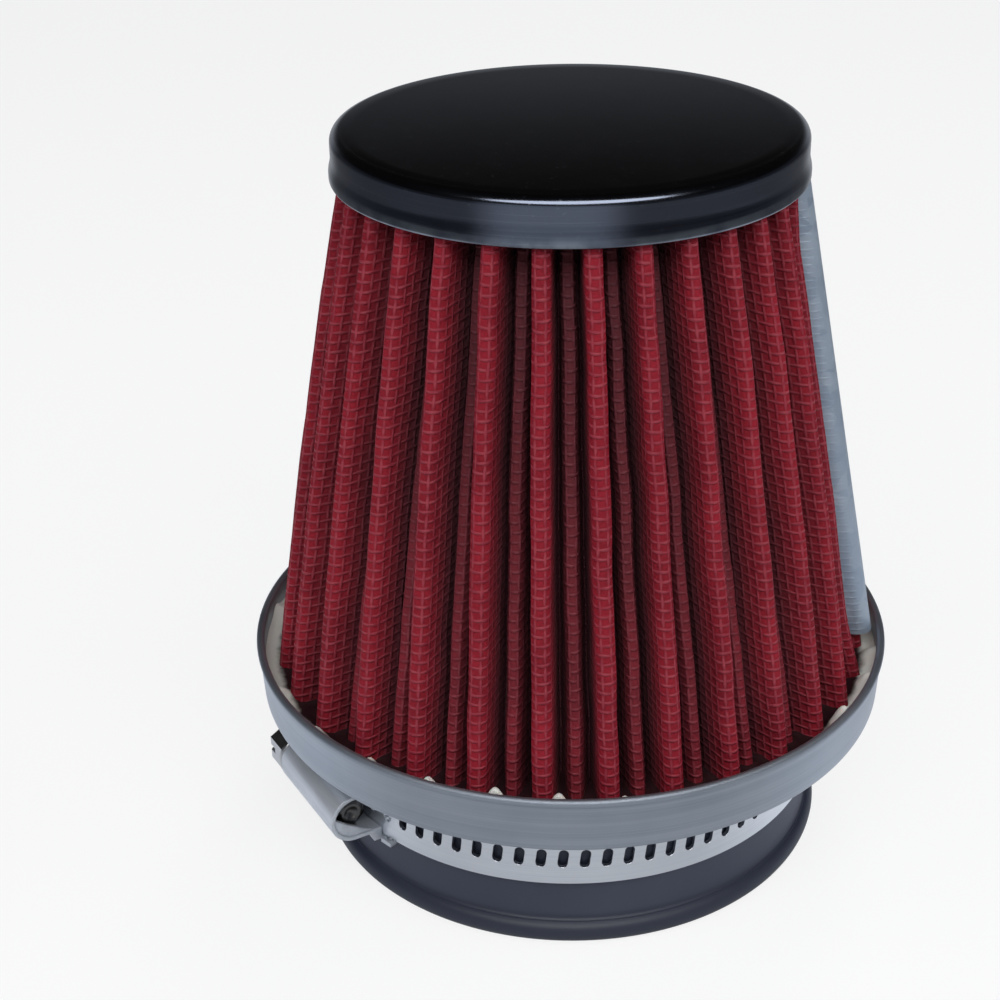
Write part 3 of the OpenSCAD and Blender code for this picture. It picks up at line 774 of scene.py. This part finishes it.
# Each bead has a bearing in degrees, a height and a width
GLUE_BEADS = ((204, 2.4, 1.9), (219.4, 2.9, 1.7), (233.9, 3.3, 1.5), (245.9, 3.8, 1.7), (257.8, 4.2, 1.8),
              (268.4, 4.0, 1.7), (279.3, 3.3, 1.4), (327.1, 3.9, 1.9), (340.9, 2.8, 2.3), (352, 1.6, 2.0),
              (20, 1.2, 1.8), (47, 1.9, 1.6), (97, 1.4, 2.0), (121, 2.1, 1.4), (146, 1.1, 1.6), (173, 1.6, 2.0))


def glue_pool():
    around, across = 960, 26
    inner, outer = LIP_R, pan_wall(GLUE_LOW) - PAN_SHEET
    radii = np.linspace(inner, outer, across)
    angles = np.arange(around) * 2 * math.pi / around
    r, a = np.meshgrid(radii, angles, indexing="ij")
    x, y = r * np.cos(a), r * np.sin(a)
    line = fold_line()
    flat = np.column_stack([x.ravel(), y.ravel()])
    near = np.empty(len(flat))
    for start in range(0, len(flat), 2000):
        gap = flat[start:start + 2000, None, :] - line[None, :, :]
        near[start:start + 2000] = np.sqrt((gap ** 2).sum(2).min(1))
    near = near.reshape(r.shape)
    rise = 0.45 * np.exp(-near / 0.4) + 0.9 * np.exp(-(outer - r) / 0.6) + 0.2 * np.exp(-(r - inner) / 0.4)
    rise += 0.12 * np.sin(3 * a + 1) * np.sin(7 * a) + 0.06 * np.sin(31 * a + 0.4 * r)
    for place, height, width in GLUE_BEADS:
        off = (a - RISE(place) + math.pi) % (2 * math.pi) - math.pi
        spread = (off * r / width) ** 2 + ((r - outer + 0.7) / 1.6) ** 2
        rise += height * np.exp(-spread)
    z = GLUE_LOW + rise
    points = list(zip(x.ravel(), y.ravel(), z.ravel()))
    faces = []
    for i in range(across - 1):
        for k in range(around):
            n = (k + 1) % around
            faces.append((i * around + k, (i + 1) * around + k, (i + 1) * around + n, i * around + n))
    rim = [(pan_wall(z) - PAN_SHEET, z) for z in (27.0, 25.2)]
    rim += [(CORNER_R + 0.2, NECK_LEN + PAN_SHEET), (FLANGE_R, NECK_LEN + PAN_SHEET), (FLANGE_R, FLANGE_TOP),
            (LIP_R, FLANGE_TOP)]
    last = (across - 1) * around
    for rr, zz in rim:
        base = len(points)
        points += [(rr * math.cos(t), rr * math.sin(t), zz) for t in angles]
        for k in range(around):
            n = (k + 1) % around
            faces.append((last + k, base + k, base + n, last + n))
        last = base
    for k in range(around):
        n = (k + 1) % around
        faces.append((last + k, k, n, last + n))
    return piece("resin_pool", points, faces, GLUE, 40.0)


glue = glue_pool()

# The clamp's band: a flat strip with slanted slots, made from one tile, then wound on the neck by a geometry tree

SLOT_PITCH, SLOT_W, SLOT_LEN, SLANT, SLOTS, RIM_EASE = 3.175, 1.45, 3.1, RISE(7), 46, 0.035
FLAT_R, EDGE, TILE_SIDE, TILE_END = TAIL_R + BAND_T, 0.1, 8, 6


def slot_rim(grow):
    """Points round the slot and, in step with them, round the tile, anticlockwise from the lower left corner."""
    half_w, half_h = SLOT_PITCH / 2, BAND_W / 2 - EDGE
    straight, r = (SLOT_LEN - SLOT_W) / 2, SLOT_W / 2 + grow
    rim, frame_points = [], []

    def hole(x, z):
        return x * math.cos(SLANT) + z * math.sin(SLANT), -x * math.sin(SLANT) + z * math.cos(SLANT)

    def end_point(u, up):
        t = u * RISE(55)
        return hole(r * math.sin(t), up * (straight + r * math.cos(t)))

    def side_point(v, right):
        if abs(v) <= 0.6:
            return hole(right * r, v / 0.6 * straight)
        t = RISE(90 - 35 * (abs(v) - 0.6) / 0.4)
        return hole(right * r * math.sin(t), math.copysign(straight + r * math.cos(t), v))

    for i in range(TILE_END):
        u = -1 + 2 * i / TILE_END
        frame_points.append((u * half_w, -half_h))
        rim.append(end_point(u, -1))
    for i in range(TILE_SIDE):
        v = -1 + 2 * i / TILE_SIDE
        frame_points.append((half_w, v * half_h))
        rim.append(side_point(v, 1))
    for i in range(TILE_END):
        u = 1 - 2 * i / TILE_END
        frame_points.append((u * half_w, half_h))
        rim.append(end_point(u, 1))
    for i in range(TILE_SIDE):
        v = 1 - 2 * i / TILE_SIDE
        frame_points.append((-half_w, v * half_h))
        rim.append(side_point(v, -1))
    return rim, frame_points


def slot_tile():
    """One pitch of the band, flat: X along it, Y outwards through it and Z up, with the slot's rim eased."""
    rim, outside = slot_rim(0)
    wide = slot_rim(RIM_EASE)[0]
    rings = ((outside, BAND_T), (wide, BAND_T), (rim, BAND_T - RIM_EASE), (rim, 0), (outside, 0))
    points = [(x, y, z) for ring, y in rings for x, z in ring]
    n = len(rim)
    faces = between_rings(5, n)
    half_h = BAND_W / 2
    for start, up in ((0, -1), (TILE_END + TILE_SIDE, 1)):
        row = [(start + i) % n for i in range(TILE_END + 1)]
        base = len(points)
        for y in (BAND_T - EDGE, EDGE):
            points += [(points[i][0], y, up * half_h) for i in row]
        for i in range(TILE_END):
            a, b = row[i], row[i + 1]
            c, d = base + i, base + i + 1
            e, f = c + TILE_END + 1, d + TILE_END + 1
            g, h = 4 * n + row[i], 4 * n + row[i + 1]
            faces += [(b, a, c, d), (d, c, e, f), (f, e, g, h)]
    return points, faces


def plain_strip(start, end, parts, round_start=0.0, closed=(True, True)):
    """A plain length of the band, flat, that may begin with rounded corners."""
    levels = [-BAND_W / 2 + EDGE + (BAND_W - 2 * EDGE) * i / TILE_SIDE for i in range(TILE_SIDE + 1)]
    section = ([(BAND_T, z) for z in levels] + [(BAND_T - EDGE, BAND_W / 2), (EDGE, BAND_W / 2)]
               + [(0, z) for z in reversed(levels)] + [(EDGE, -BAND_W / 2), (BAND_T - EDGE, -BAND_W / 2)])
    if round_start:
        stops = [start + round_start * (1 - math.cos(math.pi / 2 * i / 6)) for i in range(7)]
        stops += list(np.linspace(start + round_start, end, parts + 1)[1:])
    else:
        stops = list(np.linspace(start, end, parts + 1))
    points = []
    for x in stops:
        into = max(round_start - (x - start), 0)
        keep = (BAND_W / 2 - round_start + math.sqrt(max(round_start ** 2 - into ** 2, 0))) / (BAND_W / 2) \
            if round_start else 1
        points += [(x, y, z * keep) for y, z in section]
    n = len(section)
    faces = between_rings(len(stops), n)
    side = TILE_SIDE
    for row, wanted in ((0, closed[0]), (len(stops) - 1, closed[1])):
        if wanted:
            ring = [row * n + i for i in range(n)]
            for i in range(side):
                faces.append((ring[i], ring[i + 1], ring[2 * side + 2 - i], ring[2 * side + 3 - i]))
            faces.append((ring[side], ring[side + 1], ring[side + 2], ring[side + 3]))
            faces.append((ring[0], ring[2 * side + 3], ring[2 * side + 4], ring[2 * side + 5]))
    return points, faces


def band_tree(tree, given):
    row = instances(tree, given["Slots"], given["Geometry"], spacing=given["Pitch"])
    row = tree.add("GeometryNodeTransform", {}, {"Geometry": row, "Translation": tree.join(given["First slot"])})
    plain = tree.add("GeometryNodeObjectInfo", {"transform_space": "ORIGINAL"}, {"Object": given["Plain"]}, "Geometry")
    both = tree.add("GeometryNodeJoinGeometry")
    for part in (row, plain):
        tree.links.new(part.socket, both.socket.node.inputs[0])
    whole = tree.add("GeometryNodeMergeByDistance", {}, {"Geometry": both, "Distance": 4e-6})
    along, out, up = place_of(tree)
    turn = along / (FLAT_R * MM)
    lift = (TAIL_R - BAND_R) / 2 * MM
    settle = (turn + math.pi - TAIL_ANGLE).high(math.pi).low(2 * math.pi)
    reach = BAND_R * MM + lift * (1 - settle.cos()) + out
    angle = turn + given["Tail end"]
    wound = tree.join(reach * angle.cos(), reach * angle.sin(), up + BAND_MID * MM)
    return tree.add("GeometryNodeSetPosition", {}, {"Geometry": whole, "Position": wound})


first = 1.5 * SLOT_PITCH
slots_from, slots_to = first - SLOT_PITCH / 2, first + (SLOTS - 0.5) * SLOT_PITCH
band_len = (math.pi + TAIL_ANGLE + math.pi + SADDLE_HALF) * FLAT_R
tail = plain_strip(0, slots_from, 2, 2.0, (True, False))
rest = plain_strip(slots_to, band_len, 84, 0, (False, True))
shift = len(tail[0])
plain = piece("band_plain", tail[0] + rest[0], tail[1] + [tuple(i + shift for i in f) for f in rest[1]], BAND)
tile = piece("clamp_strip", *slot_tile(), BAND)
band = grown("clamp_strip", tile, {"Slots": SLOTS, "Pitch": SLOT_PITCH * MM, "First slot": first * MM, "Plain": plain,
                                   "Tail end": CLAMP - TAIL_ANGLE}, band_tree, BAND)
bpy.data.objects.remove(plain)
fixed = bmesh.new()
fixed.from_mesh(band.data)
bmesh.ops.recalc_face_normals(fixed, faces=fixed.faces)
fixed.to_mesh(band.data)
fixed.free()
band.data.set_sharp_from_angle(angle=RISE(28))

# The clamp's housing and saddle: eased copies of the solids


def eased(node, name, material, width):
    """A merged copy of a solid with its edges rounded a little."""
    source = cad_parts[node]
    mesh = source.data.copy()
    form = bmesh.new()
    form.from_mesh(mesh)
    bmesh.ops.remove_doubles(form, verts=form.verts, dist=1e-6)
    bmesh.ops.dissolve_limit(form, angle_limit=RISE(1.0), verts=form.verts, edges=form.edges)
    form.to_mesh(mesh)
    form.free()
    mesh.materials.clear()
    mesh.materials.append(material)
    made = bpy.data.objects.new(name, mesh)
    bpy.context.scene.collection.objects.link(made)
    ease_edges(made, width)
    made.data = baked(made)
    made.data.shade_smooth()
    made.data.set_sharp_from_angle(angle=RISE(35))
    return made


END_R, END_FROM, END_TO = 3.5, HOUSE_HALF - 1.0, HOUSE_HALF - 0.25


def turned_in(cover):
    """Joins to the cover the lower part of its open end, which is turned in over the screw's tip."""
    rim = arc(0, 0, END_R, 13, -90, 12) + [(-3.1, -3.4), (-1.4, -2.55), (1.2, -0.95)]
    points = [(x, -up, z) for z in (END_FROM, END_TO) for x, up in rim]
    count = len(rim)
    faces = [tuple(range(count)), tuple(range(count, 2 * count))] + between_rings(2, count)
    end = piece("turned_in_end", points, faces, CLAMP_STEEL, 35.0, outwards=True)
    ease_edges(end, 0.2)
    end_mesh = baked(end)
    end_mesh.transform(at_screw)
    gather(cover, (cover.data, end_mesh))
    bpy.data.objects.remove(end)
    cover.data.set_sharp_from_angle(angle=RISE(35))


at_screw = (Matrix.Rotation(CLAMP, 4, "Z") @ Matrix.Translation((SCREW_R * MM, 0, BAND_MID * MM))
            @ Matrix.Rotation(-math.pi / 2, 4, "X"))
housing = eased("clamp_housing", "clamp_cover", CLAMP_STEEL, 0.14)
turned_in(housing)
saddle = eased("clamp_saddle", "clamp_plate", CLAMP_STEEL, 0.1)

# The screw: a worm thread, a collar and a slotted hexagon head

THREAD_R, CORE_R, COLLAR_R, COLLAR_T = 3.0, 2.3, 3.8, 0.8
HEAD_AF, HEAD_LEN, DRIVE_W, DRIVE_DEEP = 6.5, 4.4, 1.0, 1.8
THREAD_FROM, THREAD_TO = -HOUSE_HALF + 0.82, HOUSE_HALF - 1.5
COLLAR_FROM = -HOUSE_HALF - 0.3 - COLLAR_T


def screw_piece():
    core = [(0, THREAD_TO - 0.7), (0.5, THREAD_TO - 0.5), (1.1, THREAD_TO), (1.5, THREAD_TO), (CORE_R, THREAD_TO - 0.6)]
    core += [(CORE_R, COLLAR_FROM + COLLAR_T)]
    core += [(COLLAR_R - 0.15, COLLAR_FROM + COLLAR_T), (COLLAR_R, COLLAR_FROM + COLLAR_T - 0.15)]
    core += [(COLLAR_R, COLLAR_FROM + 0.15), (COLLAR_R - 0.15, COLLAR_FROM), (0, COLLAR_FROM)]
    shaft = turned("worm_screw", core, SCREW, closed=False, count=48)
    turns = (THREAD_TO - THREAD_FROM - 1.5) / SLOT_PITCH
    parts = int(turns * 36)
    points, faces = [], []
    for i in range(parts + 1):
        angle = 2 * math.pi * turns * i / parts
        y = THREAD_FROM + 0.75 + SLOT_PITCH * turns * i / parts
        fade = min(1, i / 8, (parts - i) / 8)
        crest = CORE_R + (THREAD_R - CORE_R) * max(fade, 0.05)
        for r, off in ((CORE_R - 0.15, -0.72), (crest, -0.36), (crest, 0.36), (CORE_R - 0.15, 0.72)):
            points.append((r * math.cos(angle), r * math.sin(angle), y + off))
    for i in range(parts):
        for j in range(4):
            k = (j + 1) % 4
            faces.append((i * 4 + j, (i + 1) * 4 + j, (i + 1) * 4 + k, i * 4 + k))
    faces += [(3, 2, 1, 0), tuple(parts * 4 + i for i in range(4))]
    thread = piece("worm_thread", points, faces, SCREW, 30.0, outwards=True)
    corner = HEAD_AF / math.sqrt(3)
    head_low = COLLAR_FROM - HEAD_LEN
    sections = ((head_low, corner * 0.9), (head_low + 0.35, corner), (COLLAR_FROM + 0.3, corner))
    corners = [RISE(60 * i + 30) for i in range(6)]
    points = [(r * math.cos(a), r * math.sin(a), y) for y, r in sections for a in corners]
    faces = [tuple(range(6)), tuple(12 + i for i in range(6))] + between_rings(3, 6)
    head = piece("worm_head", points, faces, SCREW, 30.0, outwards=True)
    low, high = head_low - 1, head_low + DRIVE_DEEP
    box = [(x, y, z) for z in (low, high) for y in (-DRIVE_W / 2, DRIVE_W / 2) for x in (-6, 6)]
    cutter = piece("drive_slot", box, [(0, 1, 3, 2), (4, 5, 7, 6), (0, 1, 5, 4), (2, 3, 7, 6), (0, 2, 6, 4),
                                       (1, 3, 7, 5)], SCREW, 30.0, outwards=True)
    cut = head.modifiers.new("slot", "BOOLEAN")
    cut.object, cut.operation, cut.solver = cutter, "DIFFERENCE", "EXACT"
    gather(shaft, (shaft.data, thread.data, baked(head)))
    shaft.data.transform(at_screw)
    for spare in (thread, head, cutter):
        bpy.data.objects.remove(spare)
    shaft.data.shade_smooth()
    shaft.data.set_sharp_from_angle(angle=RISE(30))
    return shaft


screw = screw_piece()

use(cap, "filter", "cap_plate", "top_cap")
use(folds, "filter", "filter_gauze", "folded_element")
use(clip, "filter", "clip_steel", "seam_clip")
use(glue, "filter", "pan_glue", "pan_glue")
use(pan, "filter", "pan_steel", "base_pan")
use(neck, "filter", "neck_rubber", "neck_sleeve")
use(band, "filter", "clamp_steel", "clamp_band")
use(housing, "filter", "clamp_steel", "clamp_housing")
use(saddle, "filter", "clamp_steel", "clamp_saddle")
use(screw, "screw", "screw_steel", "clamp_screw")
hidden_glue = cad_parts["cap_glue"]
hidden_glue.data.materials.clear()
hidden_glue.data.materials.append(CAP_GLUE)

# The camera, the floor and the light


def surround(tree, x, y):
    """What shiny parts see far off: a pale wall ahead, a greyer one behind and dark sides."""
    away = (x * x + y * y) ** 0.5
    ahead = ((x * -0.14 - y * 0.99) / away).step(0.78, 0.97)
    behind = (y / away).step(0.72, 0.96)
    sides = tree.blend(behind, rgb(0.05, 0.053, 0.062), rgb(0.44, 0.46, 0.49))
    return tree.blend(ahead, sides, rgb(0.56, 0.6, 0.66)), away


world = bpy.data.worlds.new("studio")
bpy.context.scene.world = world
world.use_nodes = True
world.node_tree.nodes.clear()
sky = Tree(world.node_tree)
way = sky.add("ShaderNodeTexCoord", {}, {}, "Generated")
east, north, height = (sky.split(way).out(i) for i in range(3))
seen = sky.add("ShaderNodeLightPath", {}, {}, "Is Camera Ray")
mirrored = (seen.out("Is Glossy Ray") + seen.out("Is Transmission Ray")).low(1)
walls = surround(sky, east, north)[0]
studio = sky.blend(height.step(0.05, 0.32), walls, rgb(0.012, 0.0105, 0.0095))
shown = sky.blend(seen, studio, rgb(1, 1, 1))
mixed = sky.blend((seen + mirrored).low(1), rgb(0.13, 0.14, 0.16), shown)
glow = sky.add("ShaderNodeBackground", {}, {"Color": mixed, "Strength": 1.0})
sky.add("ShaderNodeOutputWorld", {}, {"Surface": glow})


def floor_paint():
    """A matt floor under the lamps, white to the camera; to shiny parts it glows with a painted reflection, darker just
    in front, paler just to the sides and graded as the walls beyond it are.
    """
    made = bpy.data.materials.new("floor_pale")
    made.use_nodes = True
    made.node_tree.nodes.clear()
    tree = Tree(made.node_tree)
    place = tree.place()
    x, y = (tree.split(place).out(i) for i in range(2))
    walls, away = surround(tree, x, y)
    # Painted reflection for shiny parts: darker just in front of the filter, paler just to its sides.
    near = tree.blend((y * -1 / away).step(0.25, 0.8), rgb(0.74, 0.78, 0.85), rgb(0.44, 0.46, 0.49))
    painted_reflection = tree.blend(away.step(0.14, 0.26), near, walls)
    cloud = tree.noise(place, 3, 2)
    pale = tree.blend(cloud, rgb(0.86, 0.86, 0.86), rgb(0.9, 0.9, 0.9))
    matt = tree.add("ShaderNodeBsdfDiffuse", {}, {"Color": pale})
    path = tree.add("ShaderNodeLightPath", {}, {}, "Is Camera Ray")
    shiny = (path.out("Is Glossy Ray") + path.out("Is Transmission Ray")).low(1)
    glow = tree.add("ShaderNodeEmission", {}, {"Color": tree.blend(path, painted_reflection, rgb(1, 1, 1)), "Strength": 1.0})
    both = tree.add("ShaderNodeMixShader", {}, {0: (path * 0.8 + shiny * 0.85).low(1), 1: matt, 2: glow})
    tree.add("ShaderNodeOutputMaterial", {}, {"Surface": both})
    return made


floor = piece("floor", [(-3000, -3000, 0), (3000, -3000, 0), (3000, 3000, 0), (-3000, 3000, 0)], [(0, 1, 2, 3)],
              floor_paint())


def lamp(name, place, size, watts, colour=(1, 1, 1), aim=(0, 0, 0.06), tall=None, mirrored_too=False):
    data = bpy.data.lights.new(name, "AREA")
    data.shape, data.size, data.size_y, data.energy, data.color = "ELLIPSE", size, tall or size, watts, colour
    made = bpy.data.objects.new(name, data)
    made.location = place
    made.rotation_euler = (Vector(aim) - Vector(place)).to_track_quat("-Z", "Y").to_euler()
    made.visible_glossy = mirrored_too
    bpy.context.scene.collection.objects.link(made)
    return made


lamp("key", (0.05, -0.52, 0.62), 1.1, 4.6, tall=0.4, mirrored_too=True)
lamp("left_fill", (-0.7, -0.25, 0.3), 0.5, 1.6, (0.93, 0.96, 1.0))
lamp("right_fill", (0.75, -0.1, 0.35), 0.5, 2.0, (0.93, 0.96, 1.0))
lamp("back_fill", (0.3, 0.75, 1.1), 0.5, 2.5)

PITCH, YAW, ROLL, LENS = 0.4827, -0.0427, -0.0193, 65.42
ahead = Vector((math.sin(YAW) * math.cos(PITCH), math.cos(YAW) * math.cos(PITCH), -math.sin(PITCH)))
right = Vector((math.cos(YAW), -math.sin(YAW), 0))
above = right.cross(ahead)
right_rolled = right * math.cos(ROLL) + above * math.sin(ROLL)
above_rolled = above * math.cos(ROLL) - right * math.sin(ROLL)
lens = bpy.data.cameras.new("camera")
lens.lens, lens.sensor_width, lens.clip_start = LENS, 36, 0.01
camera = bpy.data.objects.new("camera", lens)
turn = Matrix((right_rolled, above_rolled, -ahead)).transposed()
camera.matrix_world = Matrix.Translation((0, -0.24392, 0.18063)) @ turn.to_4x4()
bpy.context.scene.collection.objects.link(camera)
bpy.context.scene.camera = camera
bpy.context.scene.view_settings.view_transform = "Standard"
